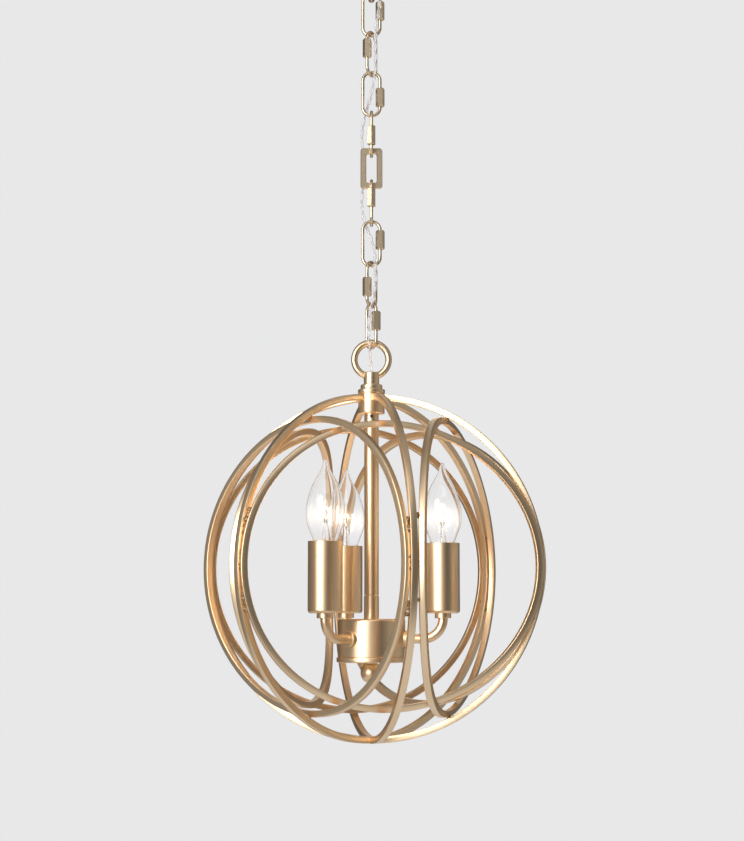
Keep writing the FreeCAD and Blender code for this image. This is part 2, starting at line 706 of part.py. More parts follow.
# ---- assembly ---------------------------------------------------------------------------------
def main():
    top_ring, heights, low_ring = chain_places()
    loop_height = cage_top + flange_height + washer_height - loop_neck_low()
    middle = low_ring - loop_height
    pieces = ceiling_fitting(top_ring)
    pieces.update(chain())
    pieces["lamp_cord"] = cord()
    lamp = {"fixture_loop": moved(hanging_loop(lower_loop_turn), z=loop_height),
            "loop_washer": loop_washer(),
            "top_collar": top_collar(),
            "stem_sleeve": stem_sleeve(),
            "hub_housing": hub_housing(),
            "hub_cover": hub_cover(),
            "hub_rod": hub_rod(),
            "hub_nut": hub_nut(),
            "finial": finial()}
    lamp.update(stem())
    lamp.update(cage())
    bulb_parts = {"bulb_glass": bulb_glass(), "bulb_base": bulb_base()}
    groups = {"arm_collars": arm_collar(), "candle_cups": candle_cup(), "lamp_sockets": lamp_socket()}
    for name, shape in groups.items():
        lamp[name] = Part.makeCompound([turned(shape, azimuth - 90) for azimuth in candle_azimuths])
    for number, azimuth in enumerate(candle_azimuths, 1):
        lamp["arm_%d" % number] = turned(arm(), azimuth - 90)
        lamp["candle_sleeve_%d" % number] = turned(candle_sleeve(), azimuth - 90)
        for name, shape in bulb_parts.items():
            lamp["%s_%d" % (name, number)] = turned(moved(shape, candle_circle), azimuth - 90)
    for name, shape in lamp.items():
        pieces[name] = moved(shape, z=middle)
    os.makedirs("parts", exist_ok=True)
    for name, shape in pieces.items():
        shape.exportStep("parts/%s.step" % name)
    print("middle of the cage at z = %.3f, rings at %.3f and %.3f" % (middle, top_ring, low_ring))
    print("links at", [round(h, 3) for h in heights])
    print(len(pieces), "nodes")


main()
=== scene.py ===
import json
import math

import bmesh
import bpy
from bpy.props import FloatProperty, FloatVectorProperty, IntProperty, PointerProperty
from mathutils import Matrix, Vector
from mathutils.kdtree import KDTree

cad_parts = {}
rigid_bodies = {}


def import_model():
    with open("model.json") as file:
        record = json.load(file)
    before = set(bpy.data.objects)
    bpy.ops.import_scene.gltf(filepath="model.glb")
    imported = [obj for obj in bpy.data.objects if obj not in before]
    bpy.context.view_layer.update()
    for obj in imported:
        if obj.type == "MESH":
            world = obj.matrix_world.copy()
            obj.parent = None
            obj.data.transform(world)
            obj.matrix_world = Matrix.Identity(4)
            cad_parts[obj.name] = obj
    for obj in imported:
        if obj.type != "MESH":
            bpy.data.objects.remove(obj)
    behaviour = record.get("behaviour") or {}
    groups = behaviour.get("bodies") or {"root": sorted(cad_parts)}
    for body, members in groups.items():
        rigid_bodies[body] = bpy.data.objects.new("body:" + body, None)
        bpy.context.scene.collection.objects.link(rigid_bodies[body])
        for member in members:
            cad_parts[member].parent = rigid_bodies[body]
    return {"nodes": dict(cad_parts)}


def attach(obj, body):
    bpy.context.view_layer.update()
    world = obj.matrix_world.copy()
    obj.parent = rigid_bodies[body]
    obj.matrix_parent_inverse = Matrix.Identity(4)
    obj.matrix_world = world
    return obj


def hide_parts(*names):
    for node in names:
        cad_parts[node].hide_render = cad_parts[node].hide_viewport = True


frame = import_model()

bl_info = {
    "name": "Orb Chandelier",
    "version": (1, 0, 0),
    "blender": (4, 5, 0),
    "location": "View3D > Sidebar > Orb Chandelier",
    "description": "Dresses the packed frame of a hanging orb chandelier",
    "category": "Object",
}

# Heights and sizes below are metres. Z = 0 is the ceiling plane and CAGE the middle of the cage.
CAGE = -0.6141
TOP_RING = -0.0547
LOW_RING = -0.4211
HOOP_TURNS = (13.1, 76.0, 133.5)
CANDLE_TURNS = (81.5, 201.5, 321.5)
CANDLE_CIRCLE = 0.066
# Points that the cord's line follows, in millimetres, from the canopy loop down to the lamp loop.
CORD_ROUTE = [(0.0, 0.0, -39.0), (0.4, -0.4, -48.0), (5.5, -3.8, -59.0), (8.0, -8.2, -72.0),
              (6.6, -8.6, -87.0), (4.6, -7.4, -102.0), (3.6, -7.0, -117.0), (3.9, -7.2, -131.0),
              (3.6, -5.9, -145.0), (1.6, -1.6, -158.0), (-1.8, 3.0, -171.0), (-6.2, 6.3, -184.0),
              (-8.9, 5.0, -198.0), (-9.3, 4.4, -212.0), (-8.2, 6.6, -226.0), (-6.2, 7.4, -240.0),
              (-8.0, 6.2, -254.0), (-9.5, 3.9, -268.0), (-8.6, 4.6, -281.0), (-4.6, 4.4, -294.0),
              (0.3, 0.9, -307.0), (3.2, -3.9, -320.0), (3.6, -7.0, -334.0), (3.9, -8.3, -349.0),
              (2.2, -8.9, -363.0), (-1.6, -8.0, -377.0), (-2.7, -7.2, -391.0), (-2.5, -6.6, -404.0),
              (-1.5, -3.6, -416.0), (-0.2, -0.4, -427.0), (0.0, 0.0, -439.0)]
MM = 0.001
WELD_GAP = 0.05 * MM
# A turned ring that ends on the axis is shrunk to this share; POINT_RADIUS, in millimetres, is the
# small flat that the finial begins and ends with.
POINT_FACTOR, POINT_RADIUS = 1e-5, 0.5
GRAIN_DEPTH = 0.2 * MM
STRAND_LAY, STRAND_CORNERS = 0.93, 10
WELD_REACH = 9.5 * MM
BEAD_RADIUS, BEAD_SMALLEST, BEAD_SPREAD = 1.9 * MM, 0.82, 0.36
BEAD_RIPPLE, RIPPLE_WAVES = 0.16, (2600, 2300)
# Beads beside the middle one, where a hoop lies along a great hoop near the cage's middle height.
SIDE_WELD_HEIGHT, SIDE_WELD_STEPS = 20 * MM, (-34, 27)

# Sizes of the loops, the lamp's turned pieces and the bulbs, in millimetres. Heights are from the
# middle of the cage, and a neck's from the middle of its ring.
STEM_RADIUS, STEM_LOW, STEM_TOP = 6.7, -25.9, 164.6
SLEEVE_RADIUS, ROD_BORE = 6.95, 4.8
COLLAR_RADIUS, COLLAR_LOW, COLLAR_TOP = 12.25, 142.0, 164.7
COLLAR_CUT = (120, 190)
WASHER_BORE, WASHER_TOP = 4.9, 169.3
HUB_RADIUS, HUB_LOW, HUB_TOP, HUB_EDGE = 31.0, -82.2, -47.6, 2.2
COVER_RADIUS, COVER_LOW = 32.0, -87.0
FINIAL_RADIUS, FINIAL_HEIGHT = 10.0, -96.4
CANDLE_RADIUS, CANDLE_WALL, CANDLE_LOW, CANDLE_TOP = 15.6, 1.1, -42.5, 21.45
CANDLE_EDGE, CANDLE_BORE = 3.0, 4.3
LOOP_RADIUS, LOOP_WIRE = 16.0, 3.1
NECK_RADIUS, NECK_LOW, NECK_TOP, CORD_BORE = 7.2, -23.7, -12.1, 2.6
GLASS_WALL, SCREW_ROOT = 0.7, 6.2
GLASS_POLES = [(10, 18.4), (12.25, 26.83), (17.5, 36.5), (17.5, 46.5), (17.5, 56.5), (10.675, 76.39),
               (2.7, 86.5), (2.2, 95.5), (0, 95.5)]
MOUNT_OUTLINE = [(3.4, 18.45), (3.3, 24), (2.3, 33), (2.0, 38), (2.3, 40.0), (1.9, 40.7), (0.8, 40.95)]
LEAD_LINE = [(0.85, 37.5), (1.1, 41.5), (4.6, 46.2), (5.5, 48.7)]
COIL_WIRE, LEAD_WIRE = 0.22, 0.3
FILAMENT_LOW, FILAMENT_RISE, FILAMENT_HALF, COIL_RADIUS, COIL_TURNS = 48.2, 3.4, 5.5, 0.62, 26

# Light of the bulbs, its places in metres: the bloom painted on the glass as a glow of the glass itself, the
# coil and the glow on the metal.
PAINTED_BLOOM_HEIGHT, PAINTED_BLOOM_SPREAD, PAINTED_BLOOM_STRENGTH = CAGE + 45 * MM, 10 * MM, 0.065
FILAMENT_STRENGTH = 4.0
GLOW_COLOUR, GLOW_POWER, GLOW_SIZE, GLOW_HEIGHT = (1.0, 0.60, 0.25), 0.17, 12 * MM, 50 * MM

# Picture and studio. The room's stops are its light once round the horizon: 0.25 is the camera's
# side, 0.5 the right and 0.75 the pale backdrop.
PICTURE_WIDTH, FOCAL_PIXELS, SENSOR = 744, 1650, 36.0
CAMERA_PLACE, CAMERA_TILT = (0.0005, -1.526, CAGE - 0.0413), 6.62
FLOOR_SIZE, FLOOR_HEIGHT = 5.0, -2.3
ROOM_STOPS = [(0.0, 0.30), (0.06, 0.08), (0.13, 0.62), (0.215, 0.85), (0.26, 0.10), (0.345, 0.04),
              (0.41, 0.36), (0.55, 0.46), (0.64, 0.12), (0.72, 0.14), (0.75, 0.80), (0.78, 0.14),
              (0.88, 0.10), (1.0, 0.30)]


# ---- sizes and colours a user would change ----------------------------------------------------
def metres(name, description, default):
    """A length that a user can change."""
    return FloatProperty(name=name, description=description, default=default, unit='LENGTH')


def colour(name, description, default):
    """A colour that a user can change."""
    return FloatVectorProperty(name=name, description=description, default=default, subtype='COLOR', size=3,
                               min=0, max=1)


class ORB_PG_sizes(bpy.types.PropertyGroup):
    cage_radius: metres("Cage Radius", "Centre line of the great hoops", 0.157)
    bar: metres("Bar Side", "Side of the square bar", 0.006)
    bar_edge: metres("Bar Edge", "Rounding of the square bar's edges", 0.0008)
    outer_bow: metres("Outer Hoop Lean", "Lean of the three larger small hoops", 0.0142)
    inner_bow: metres("Inner Hoop Lean", "Lean of the three lower small hoops", 0.0248)
    inner_inset: metres("Inner Hoop Inset", "From the cage's pole to a lower hoop", 0.0305)
    strand_radius: metres("Strand Radius", "Radius of one strand of the cord", 0.00088)
    strand_turn: metres("Strand Turn", "Length of one turn of the cord's strands", 0.021)
    ring_steps: IntProperty(name="Ring Steps", description="Faces around a hoop", default=192, min=48)


class ORB_PG_colours(bpy.types.PropertyGroup):
    gold: colour("Champagne Gold", "Satin metal of the lamp", (0.80, 0.615, 0.405))
    gold_deep: colour("Deep Gold", "Darker patches of the satin metal", (0.74, 0.55, 0.35))
    chain: colour("Chain Gold", "Plated chain", (0.74, 0.60, 0.42))
    backdrop: colour("Backdrop", "Pale paper behind the lamp", (0.807, 0.807, 0.815))
    glow: colour("Filament Glow", "Colour of the lit filament", (1.0, 0.80, 0.55))


# ---- modelling helpers ------------------------------------------------------------------------
def start_clean():
    """Leave edit mode and deselect all."""
    if bpy.context.object and bpy.context.object.mode != 'OBJECT':
        bpy.ops.object.mode_set(mode='OBJECT')
    bpy.ops.object.select_all(action='DESELECT')


def make_active(obj):
    start_clean()
    obj.select_set(True)
    bpy.context.view_layer.objects.active = obj


def settle(obj, name=None):
    """Put an object's place, turn and scale into its mesh."""
    make_active(obj)
    bpy.ops.object.transform_apply(location=True, rotation=True, scale=True)
    if name:
        obj.name = name
        obj.data.name = name
    return obj


def apply_modifier(obj, kind, **values):
    make_active(obj)
    modifier = obj.modifiers.new(kind.title(), kind)
    for key, value in values.items():
        setattr(modifier, key, value)
    bpy.ops.object.modifier_apply(modifier=modifier.name)


def soften(obj, width, segments=3, angle=30.0):
    """Round the edges that are sharper than the angle."""
    apply_modifier(obj, 'BEVEL', width=width, segments=segments, limit_method='ANGLE',
                   angle_limit=math.radians(angle), miter_outer='MITER_ARC', use_clamp_overlap=True)


def smooth(obj, angle=35.0):
    make_active(obj)
    bpy.ops.object.shade_smooth_by_angle(angle=math.radians(angle))


def outward(obj):
    """Close doubled points and turn every face outwards."""
    make_active(obj)
    bpy.ops.object.mode_set(mode='EDIT')
    bpy.ops.mesh.select_all(action='SELECT')
    bpy.ops.mesh.remove_doubles(threshold=1e-6)
    bpy.ops.mesh.normals_make_consistent(inside=False)
    bpy.ops.object.mode_set(mode='OBJECT')


def turned_piece(name, profile, sides=96, closed=False, caps=True):
    """Draw a ring of points up a profile of (radius, height) pairs, as on a lathe."""
    start_clean()
    radius, height = profile[0]
    bpy.ops.mesh.primitive_circle_add(vertices=sides, radius=radius, fill_type='NOTHING',
                                      location=(0, 0, height))
    obj = settle(bpy.context.object, name)
    bpy.ops.object.mode_set(mode='EDIT')
    bpy.ops.mesh.select_all(action='SELECT')
    if caps and not closed:
        bpy.ops.mesh.edge_face_add()
        bpy.ops.mesh.select_all(action='SELECT')
    draw = bpy.ops.mesh.extrude_edges_move
    if caps and not closed:
        draw = bpy.ops.mesh.extrude_region_move
    for (r0, z0), (r1, z1) in zip(profile, profile[1:]):
        draw(TRANSFORM_OT_translate={"value": (0, 0, z1 - z0)})
        factor = r1 / r0 if r1 > 0 else POINT_FACTOR
        bpy.ops.transform.resize(value=(factor, factor, 1))
    bpy.ops.object.mode_set(mode='OBJECT')
    outward(obj)
    return obj


def moved(obj, matrix):
    obj.data.transform(matrix)
    obj.data.update()
    return obj


def linked(name, data):
    """A new object in the scene for a mesh, a curve, a light or a camera."""
    obj = bpy.data.objects.new(name, data)
    bpy.context.collection.objects.link(obj)
    return obj


def copy_of(obj, name, matrix):
    """A copy with a mesh of its own, put in its place."""
    twin = obj.copy()
    twin.data = obj.data.copy()
    twin.name = name
    twin.data.name = name
    bpy.context.collection.objects.link(twin)
    return moved(twin, matrix)


def drop(obj):
    bpy.data.objects.remove(obj, do_unlink=True)


def curve_mesh(kind, points, **values):
    """The mesh of a curve that follows points."""
    data = bpy.data.curves.new("line", 'CURVE')
    data.dimensions = '3D'
    for key, value in values.items():
        setattr(data, key, value)
    spline = data.splines.new(kind)
    spline.points.add(len(points) - 1)
    for point, spot in zip(spline.points, points):
        point.co = (*spot, 1)
    if kind == 'NURBS':
        spline.order_u = 3
        spline.use_endpoint_u = True
    line = linked("line", data)
    bpy.context.view_layer.update()
    mesh = bpy.data.meshes.new_from_object(line)
    drop(line)
    return mesh


def joined(objects, name):
    start_clean()
    for obj in objects:
        obj.select_set(True)
    bpy.context.view_layer.objects.active = objects[0]
    bpy.ops.object.join()
    objects[0].name = name
    objects[0].data.name = name
    return objects[0]


def turn_z(degrees):
    return Matrix.Rotation(math.radians(degrees), 4, 'Z')


def lift(z):
    return Matrix.Translation((0, 0, z))


def at_candle(azimuth):
    """From a piece on the candle circle along +X to its own candle."""
    return lift(CAGE) @ turn_z(azimuth - 90) @ Matrix.Translation((CANDLE_CIRCLE, 0, 0))


def place(obj, body, slot, material, *nodes):
    """Give a finished piece its finish, its body and the nodes that it stands for."""
    obj.data.materials.clear()
    obj.data.materials.append(material)
    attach(obj, body)
    if nodes:
        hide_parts(*nodes)


def finish_node(node, material):
    mesh = frame["nodes"][node].data
    mesh.materials.clear()
    mesh.materials.append(material)


def mm(pairs):
    return [(r * MM, z * MM) for r, z in pairs]


# ---- shader groups and materials --------------------------------------------------------------
def node_group(name, inputs, outputs):
    """An empty shader group with float or colour sockets."""
    group = bpy.data.node_groups.new(name, 'ShaderNodeTree')
    for label, kind, value in inputs:
        socket = group.interface.new_socket(name=label, in_out='INPUT', socket_type=kind)
        socket.default_value = value
    for label, kind in outputs:
        group.interface.new_socket(name=label, in_out='OUTPUT', socket_type=kind)
    group_in = group.nodes.new('NodeGroupInput')
    group_out = group.nodes.new('NodeGroupOutput')
    return group, group_in, group_out


def wire(tree, start, end):
    tree.links.new(start, end)


def preset(node, values):
    """Set the node's own sockets."""
    for key, value in values.items():
        node.inputs[key].default_value = value


def add(tree, kind, values=None, **settings):
    """A new shader node with its settings and the values of its sockets."""
    node = tree.nodes.new('ShaderNode' + kind)
    for key, value in settings.items():
        setattr(node, key, value)
    preset(node, values or {})
    return node


def satin_group():
    """Soft patches in tone, fine grain in the gloss and a very fine height."""
    if "Satin Metal" in bpy.data.node_groups:
        return bpy.data.node_groups["Satin Metal"]
    inputs = [("Light Colour", 'NodeSocketColor', (0.74, 0.55, 0.37, 1)),
              ("Deep Colour", 'NodeSocketColor', (0.62, 0.44, 0.28, 1)),
              ("Patch Scale", 'NodeSocketFloat', 22.0),
              ("Grain Scale", 'NodeSocketFloat', 900.0),
              ("Smoothest", 'NodeSocketFloat', 0.24),
              ("Roughest", 'NodeSocketFloat', 0.36)]
    outputs = [("Colour", 'NodeSocketColor'), ("Roughness", 'NodeSocketFloat'), ("Height", 'NodeSocketFloat')]
    group, gin, gout = node_group("Satin Metal", inputs, outputs)
    coords = add(group, 'TexCoord')
    patch = add(group, 'TexNoise', {'Detail': 3.0})
    grain = add(group, 'TexNoise', {'Detail': 2.0})
    wire(group, coords.outputs['Object'], patch.inputs['Vector'])
    wire(group, coords.outputs['Object'], grain.inputs['Vector'])
    wire(group, gin.outputs['Patch Scale'], patch.inputs['Scale'])
    wire(group, gin.outputs['Grain Scale'], grain.inputs['Scale'])
    tone = add(group, 'Mix', data_type='RGBA')
    ramp = add(group, 'MapRange', {'From Min': 0.38, 'From Max': 0.66})
    wire(group, patch.outputs['Fac'], ramp.inputs['Value'])
    wire(group, ramp.outputs['Result'], tone.inputs['Factor'])
    wire(group, gin.outputs['Light Colour'], tone.inputs['A'])
    wire(group, gin.outputs['Deep Colour'], tone.inputs['B'])
    wire(group, tone.outputs['Result'], gout.inputs['Colour'])
    mixed = add(group, 'Mix', {'Factor': 0.5})
    wire(group, patch.outputs['Fac'], mixed.inputs['A'])
    wire(group, grain.outputs['Fac'], mixed.inputs['B'])
    gloss = add(group, 'MapRange', {'From Min': 0.3, 'From Max': 0.7})
    wire(group, mixed.outputs['Result'], gloss.inputs['Value'])
    wire(group, gin.outputs['Smoothest'], gloss.inputs['To Min'])
    wire(group, gin.outputs['Roughest'], gloss.inputs['To Max'])
    wire(group, gloss.outputs['Result'], gout.inputs['Roughness'])
    wire(group, grain.outputs['Fac'], gout.inputs['Height'])
    return group


def new_material(name):
    material = bpy.data.materials.new(name)
    material.use_nodes = True
    return material, material.node_tree, material.node_tree.nodes['Principled BSDF']


def uneven_surface(name, light, deep, smoothest, roughest, patch, grain):
    """A material with the shared patches and grain, and its tree, shader and group."""
    material, tree, shader = new_material(name)
    group = add(tree, 'Group', node_tree=satin_group())
    preset(group, {'Light Colour': (*light, 1), 'Deep Colour': (*deep, 1), 'Patch Scale': patch,
                   'Grain Scale': grain, 'Smoothest': smoothest, 'Roughest': roughest})
    wire(tree, group.outputs['Colour'], shader.inputs['Base Color'])
    wire(tree, group.outputs['Roughness'], shader.inputs['Roughness'])
    return material, tree, shader, group


def satin_metal(name, light, deep, smoothest, roughest, patch=22.0, grain=900.0, bump=0.04):
    """Plated or lacquered metal with patches and grain."""
    if name in bpy.data.materials:
        return bpy.data.materials[name]
    material, tree, shader, group = uneven_surface(name, light, deep, smoothest, roughest, patch, grain)
    height = add(tree, 'Bump', {'Strength': bump, 'Distance': GRAIN_DEPTH})
    wire(tree, group.outputs['Height'], height.inputs['Height'])
    wire(tree, height.outputs['Normal'], shader.inputs['Normal'])
    shader.inputs['Metallic'].default_value = 1.0
    return material


def gold():
    colours = bpy.context.scene.orb_colours
    return satin_metal("Champagne gold", colours.gold, colours.gold_deep, 0.33, 0.41, patch=14.0, bump=0.02)


def chain_gold():
    colours = bpy.context.scene.orb_colours
    deep = [0.82 * c for c in colours.chain]
    return satin_metal("Chain gold", colours.chain, deep, 0.24, 0.34, patch=90.0, grain=1600.0, bump=0.02)


def brass():
    return satin_metal("Bulb brass", (0.78, 0.60, 0.32), (0.62, 0.46, 0.24), 0.2, 0.34, patch=120.0)


def steel():
    return satin_metal("Zinc steel", (0.62, 0.62, 0.60), (0.48, 0.48, 0.47), 0.28, 0.5, patch=160.0)


def dark_screw():
    return satin_metal("Dark screw", (0.16, 0.12, 0.09), (0.10, 0.08, 0.06), 0.25, 0.4, patch=200.0)


def plastic(name, tone, roughness):
    """Moulded plastic with a fine unevenness."""
    deep = [0.88 * c for c in tone]
    return uneven_surface(name, tone, deep, roughness - 0.08, roughness + 0.08, 60.0, 1400.0)[0]


# ---- cage -------------------------------------------------------------------------------------
def square_ring(name, across, up, bar, steps):
    """A flat ring of square bar in the XZ plane, oval where its two half sizes differ."""
    start_clean()
    rings = []
    for grow in (-bar / 2, bar / 2):
        bpy.ops.mesh.primitive_circle_add(vertices=steps, radius=1.0, fill_type='NOTHING')
        circle = bpy.context.object
        circle.rotation_euler = (math.pi / 2, 0, 0)
        circle.scale = (across + grow, up + grow, 1)
        rings.append(settle(circle))
        start_clean()
    ring = joined(rings, name)
    bpy.ops.object.mode_set(mode='EDIT')
    bpy.ops.mesh.select_all(action='SELECT')
    bpy.ops.mesh.bridge_edge_loops()
    bpy.ops.mesh.select_all(action='SELECT')
    bpy.ops.mesh.extrude_region_move(TRANSFORM_OT_translate={"value": (0, bar, 0)})
    bpy.ops.mesh.select_all(action='SELECT')
    bpy.ops.transform.translate(value=(0, -bar / 2, 0))
    bpy.ops.object.mode_set(mode='OBJECT')
    return ring


def cut_away(obj, point, normal):
    """Cut off what lies on the normal's side of a plane and close the cut."""
    make_active(obj)
    bpy.ops.object.mode_set(mode='EDIT')
    bpy.ops.mesh.select_all(action='SELECT')
    bpy.ops.mesh.bisect(plane_co=point, plane_no=normal, use_fill=True, clear_outer=True)
    bpy.ops.object.mode_set(mode='OBJECT')


class ORB_OT_great_hoops(bpy.types.Operator):
    """Three great hoops that end on the collar; the later two butt against the earlier below"""
    bl_idname = "orb.great_hoops"
    bl_label = "Great Hoops"
    bl_options = {'REGISTER', 'UNDO'}

    def execute(self, context):
        sizes = context.scene.orb_sizes
        ring = square_ring("ring_blank", sizes.cage_radius, sizes.cage_radius, sizes.bar, sizes.ring_steps)
        outward(ring)
        for number, azimuth in enumerate(HOOP_TURNS, 1):
            halves = []
            gaps = [abs(math.sin(math.radians(azimuth - other))) for other in HOOP_TURNS[:number - 1]]
            inset = max([sizes.bar / 2 / gap for gap in gaps], default=0.0)
            for side in (-1, 1):
                half = copy_of(ring, "half", Matrix())
                cut_away(half, (side * max(inset, 1e-7), 0, 0), (-side, 0, 0))
                halves.append(half)
            hoop = joined(halves, "hoop_great_%d" % number)
            if inset == 0.0:
                outward(hoop)
            core = turned_piece("core", mm([(COLLAR_RADIUS, z) for z in COLLAR_CUT]), sides=64)
            apply_modifier(hoop, 'BOOLEAN', operation='DIFFERENCE', object=core, solver='EXACT')
            drop(core)
            soften(hoop, sizes.bar_edge, 3, 40)
            smooth(hoop)
            moved(hoop, lift(CAGE) @ turn_z(azimuth - 90))
            place(hoop, "lamp", "champagne_metal", gold(), "great_hoop_%d" % number)
        drop(ring)
        return {'FINISHED'}


def small_hoop_plan(sizes):
    """Family, number, azimuth, half turn, half height and lean of each small hoop."""
    radius, half_bar = sizes.cage_radius, sizes.bar / 2
    first, second, third = HOOP_TURNS
    outer = [(first, third), (third, second + 180), (second + 180, first + 360)]
    inner = [(third - 180, second), (second, first + 180), (first + 180, third + 180)]
    plan = []
    for family, gaps in (("outer", outer), ("inner", inner)):
        for number, (low, high) in enumerate(gaps, 1):
            between = math.radians(high - low) / 2
            pitch = (half_bar * (1 + math.sin(between) + math.cos(between)) + WELD_GAP) / radius
            half = between - math.asin(pitch)
            bow, height = sizes.inner_bow, radius - sizes.inner_inset
            if family == "outer":
                bow = sizes.outer_bow
                outer_face = radius * math.cos(half) - bow + half_bar + WELD_GAP
                height = math.sqrt((radius - half_bar) ** 2 - outer_face ** 2) - half_bar
            plan.append((family, number, (low + high) / 2, half, height, bow))
    return plan


class ORB_OT_small_hoops(bpy.types.Operator):
    """Six smaller hoops, each bent to lean in above and below and lying beside two great hoops"""
    bl_idname = "orb.small_hoops"
    bl_label = "Small Hoops"
    bl_options = {'REGISTER', 'UNDO'}

    def execute(self, context):
        sizes = context.scene.orb_sizes
        for family, number, azimuth, half, height, bow in small_hoop_plan(sizes):
            bend = (height ** 2 + bow ** 2) / (2 * bow)
            offset = sizes.cage_radius * math.cos(half)
            hoop = square_ring("hoop_%s_%d" % (family, number), sizes.cage_radius * math.sin(half), height,
                               sizes.bar, sizes.ring_steps)
            for point in hoop.data.vertices:
                depth = bend - point.co.y
                point.co.y = bend - offset - math.sqrt(depth ** 2 - point.co.z ** 2)
            outward(hoop)
            soften(hoop, sizes.bar_edge, 3, 40)
            smooth(hoop)
            moved(hoop, lift(CAGE) @ turn_z(azimuth))
            place(hoop, "lamp", "champagne_metal", gold(), "%s_hoop_%d" % (family, number))
        return {'FINISHED'}


def hoop_lines(sizes, steps=720):
    """Centre lines of the great and of the small hoops, as lists of points."""
    turns = [2 * math.pi * i / steps for i in range(steps)]
    great = []
    for azimuth in HOOP_TURNS:
        place_in = turn_z(azimuth - 90)
        great.append([place_in @ Vector((sizes.cage_radius * math.cos(t), 0, sizes.cage_radius * math.sin(t)))
                      for t in turns])
    small = []
    for _, _, azimuth, half, height, bow in small_hoop_plan(sizes):
        bend = (height ** 2 + bow ** 2) / (2 * bow)
        points = []
        for t in turns:
            z = height * math.sin(t)
            y = bend - sizes.cage_radius * math.cos(half) - math.sqrt(bend ** 2 - z ** 2)
            points.append(turn_z(azimuth) @ Vector((sizes.cage_radius * math.sin(half) * math.cos(t), y, z)))
        small.append(points)
    return great, small


def weld_spots(sizes):
    """Places midway between a small and a great hoop where the two come nearest."""
    great, small = hoop_lines(sizes)
    trees = [KDTree(len(line)) for line in great]
    for tree, line in zip(trees, great):
        for i, point in enumerate(line):
            tree.insert(point, i)
        tree.balance()
    spots = []
    for line in small:
        for tree in trees:
            near = [tree.find(point) for point in line]
            count = len(line)
            for i in range(count):
                gap = near[i][2]
                if gap >= WELD_REACH or gap > near[i - 1][2] or gap >= near[(i + 1) % count][2]:
                    continue
                steps = (0,) + (SIDE_WELD_STEPS if abs(line[i].z) < SIDE_WELD_HEIGHT else ())
                for step in steps:
                    j = (i + step) % count
                    spots.append((line[j] + near[j][0]) / 2)
    return spots


class ORB_OT_welds(bpy.types.Operator):
    """Weld beads where a small hoop meets a great hoop"""
    bl_idname = "orb.welds"
    bl_label = "Weld Beads"
    bl_options = {'REGISTER', 'UNDO'}

    def execute(self, context):
        sizes = context.scene.orb_sizes
        start_clean()
        bpy.ops.mesh.primitive_ico_sphere_add(subdivisions=3, radius=BEAD_RADIUS)
        bead = context.object
        across, along = RIPPLE_WAVES
        beads = []
        for number, spot in enumerate(weld_spots(sizes)):
            grow = BEAD_SMALLEST + BEAD_SPREAD * abs(math.sin(12.9 * number + 1.0))
            turn = Matrix.Rotation(2.4 * number, 4, 'X') @ Matrix.Rotation(1.7 * number, 4, 'Z')
            twin = copy_of(bead, "bead", Matrix())
            for point in twin.data.vertices:
                wave = math.sin(across * point.co.x + number) * math.sin(along * point.co.z + 2 * number)
                point.co *= grow * (1.0 + BEAD_RIPPLE * wave)
            moved(twin, lift(CAGE) @ Matrix.Translation(spot) @ turn @ Matrix.Diagonal((1.0, 0.75, 1.25, 1)))
            beads.append(twin)
        drop(bead)
        welds = joined(beads, "weld_beads")
        smooth(welds, 80)
        metal = satin_metal("Weld bead", (0.42, 0.29, 0.17), (0.22, 0.15, 0.09), 0.34, 0.6, 420.0, bump=0.5)
        place(welds, "lamp", "champagne_metal", metal)
        return {'FINISHED'}


# ---- cord -------------------------------------------------------------------------------------
def route_points():
    """Points along the smooth line of the cord, read from its spline."""
    mesh = curve_mesh('NURBS', [(x * MM, y * MM, z * MM) for x, y, z in CORD_ROUTE], resolution_u=12)
    points = [v.co.copy() for v in mesh.vertices]
    bpy.data.meshes.remove(mesh)
    return points


def clear_plastic():
    """Clear cord jacket, faintly milky."""
    material, _, shader, _ = uneven_surface("Clear cord", (0.93, 0.92, 0.93), (0.84, 0.83, 0.86), 0.10, 0.22,
                                            160.0, 1200.0)
    preset(shader, {'Transmission Weight': 0.75, 'IOR': 1.45})
    return material


class ORB_OT_cord(bpy.types.Operator):
    """Clear twisted cord, threaded through the chain from the canopy loop to the lamp loop"""
    bl_idname = "orb.cord"
    bl_label = "Cord"
    bl_options = {'REGISTER', 'UNDO'}

    def execute(self, context):
        sizes = context.scene.orb_sizes
        points = route_points()
        tangents = [(b - a).normalized() for a, b in zip(points, points[1:])]
        tangents.append(tangents[-1])
        side = Vector((1, 0, 0))
        frames = []
        for tangent in tangents:
            side = (side - tangent * side.dot(tangent)).normalized()
            frames.append((side.copy(), tangent.cross(side)))
        build = bmesh.new()
        strand = sizes.strand_radius
        swing = strand * STRAND_LAY
        corners = STRAND_CORNERS
        for number in range(2):
            run = 0.0
            rows = []
            for i, (point, (u, v)) in enumerate(zip(points, frames)):
                if i:
                    run += (point - points[i - 1]).length
                angle = 2 * math.pi * run / sizes.strand_turn + math.pi * number
                centre = point + (u * math.cos(angle) + v * math.sin(angle)) * swing
                ring = [centre + (u * math.cos(2 * math.pi * k / corners)
                                  + v * math.sin(2 * math.pi * k / corners)) * strand for k in range(corners)]
                rows.append([build.verts.new(p) for p in ring])
            for low, high in zip(rows, rows[1:]):
                for k in range(corners):
                    build.faces.new((low[k], low[(k + 1) % corners], high[(k + 1) % corners], high[k]))
            build.faces.new(list(reversed(rows[0])))
            build.faces.new(rows[-1])
        mesh = bpy.data.meshes.new("cord")
        build.to_mesh(mesh)
        build.free()
        cord = linked("cord", mesh)
        outward(cord)
        smooth(cord, 60)
        place(cord, "link_5", "cord_clear", clear_plastic(), "lamp_cord")
        return {'FINISHED'}


